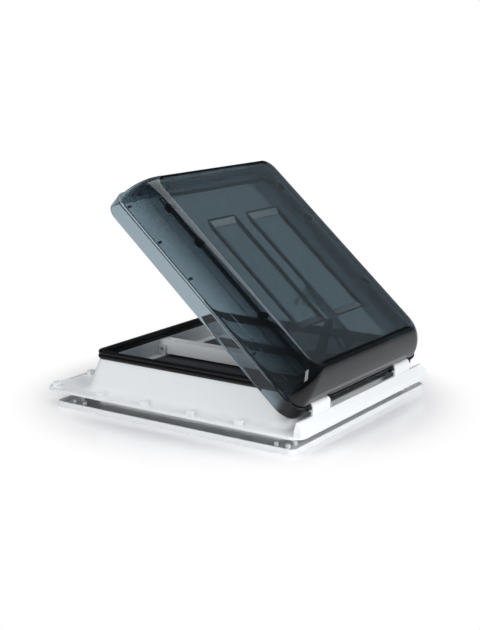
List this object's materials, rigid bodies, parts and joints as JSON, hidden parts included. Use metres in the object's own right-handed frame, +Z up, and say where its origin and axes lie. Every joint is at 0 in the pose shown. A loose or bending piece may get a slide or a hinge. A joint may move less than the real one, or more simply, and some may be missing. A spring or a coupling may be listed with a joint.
{
  "type": "caravan roof vent",
  "caption": "Square roof vent: white clamped frames round a throat, a smoked double-skinned lid hinged on one side, a geared lift arm on a bar and a framed insect screen.",
  "frame": {"origin": "centre of the 400 x 400 mm roof cut-out, at the roof's outer face, which is the flange's underside", "axes": "+Z up out of the roof, +X towards the hinge side of the lid, +Y to the side without the winding wheel"},
  "size_m": [0.528, 0.492, 0.4143],
  "materials": {
    "white_abs": "satin moulded ABS",
    "smoked_acrylic": "polished smoked acrylic",
    "black_rubber": "matt EPDM rubber",
    "black_foam": "closed-cell foam",
    "black_nylon": "moulded nylon",
    "white_acetal": "smooth acetal",
    "steel": "zinc plated",
    "grey_plastic": "satin",
    "grey_net": "coated glass-fibre net"
  },
  "bodies": {
    "frame": {"roof_frame": "white_abs", "roof_gasket": "black_foam", "collar_seal": "black_rubber", "hinge_rail": "white_abs", "hinge_clip_left": "white_abs", "hinge_clip_right": "white_abs", "hinge_pin_left": "steel", "hinge_pin_right": "steel", "ceiling_frame": "white_abs", "clamp_screws": "steel", "screw_caps": "white_abs", "crossbar": "white_abs", "saddle_free": "white_abs", "saddle_hinge": "white_abs", "crossbar_screws": "steel", "gear_housing": "black_nylon", "housing_screws": "steel", "arm_pivot_pins": "steel", "screen_frame": "grey_plastic", "fly_screen": "grey_net", "clip_screws": "steel"},
    "lid": {"outer_dome": "smoked_acrylic", "inner_pane": "smoked_acrylic", "rim_pegs": "black_nylon", "pane_clips": "black_nylon", "guide_rail": "smoked_acrylic", "rail_screws": "steel", "lid_knuckles_left": "black_nylon", "lid_knuckles_right": "black_nylon"},
    "lift_arm": {"lift_arm": "black_nylon", "gear_sector": "black_nylon", "slide_roller": "white_acetal", "roller_pin": "steel"},
    "winder": {"pinion_shaft": "black_nylon", "winding_wheel": "black_nylon", "wheel_screw": "steel"},
    "screen_clip_1": {"screen_clip_1": "white_abs"},
    "screen_clip_2": {"screen_clip_2": "white_abs"},
    "screen_clip_3": {"screen_clip_3": "white_abs"},
    "screen_clip_4": {"screen_clip_4": "white_abs"}
  },
  "joints": [
    {"name": "lid_hinge", "type": "hinge", "parent": "frame", "child": "lid", "pos_m": [0.235, 0, 0.0365], "axis": [0, 1, 0], "range_deg": [-40.92, 14.08]},
    {"name": "arm_pivot", "type": "hinge", "parent": "frame", "child": "lift_arm", "pos_m": [0.143, 0, 0.049], "axis": [0, 1, 0], "range_deg": [-106.4, 36.62]},
    {"name": "winder_spin", "type": "hinge", "parent": "frame", "child": "winder", "pos_m": [0.143, 0, 0.0235], "axis": [0, 1, 0], "range_deg": [-87.87, 255.35]},
    {"name": "screen_clip_1_turn", "type": "hinge", "parent": "frame", "child": "screen_clip_1", "pos_m": [-0.1813, -0.11, 0.0221], "axis": [0, 0, 1], "range_deg": [-90, 0]},
    {"name": "screen_clip_2_turn", "type": "hinge", "parent": "frame", "child": "screen_clip_2", "pos_m": [-0.1813, 0.11, 0.0221], "axis": [0, 0, 1], "range_deg": [0, 90]},
    {"name": "screen_clip_3_turn", "type": "hinge", "parent": "frame", "child": "screen_clip_3", "pos_m": [0.1813, -0.11, 0.0221], "axis": [0, 0, 1], "range_deg": [0, 90]},
    {"name": "screen_clip_4_turn", "type": "hinge", "parent": "frame", "child": "screen_clip_4", "pos_m": [0.1813, 0.11, 0.0221], "axis": [0, 0, 1], "range_deg": [-90, 0]}
  ],
  "couplings": [
    {"joint": "arm_pivot", "follows": "lid_hinge", "ratio": 2.6},
    {"joint": "winder_spin", "follows": "lid_hinge", "ratio": -6.24}
  ]
}
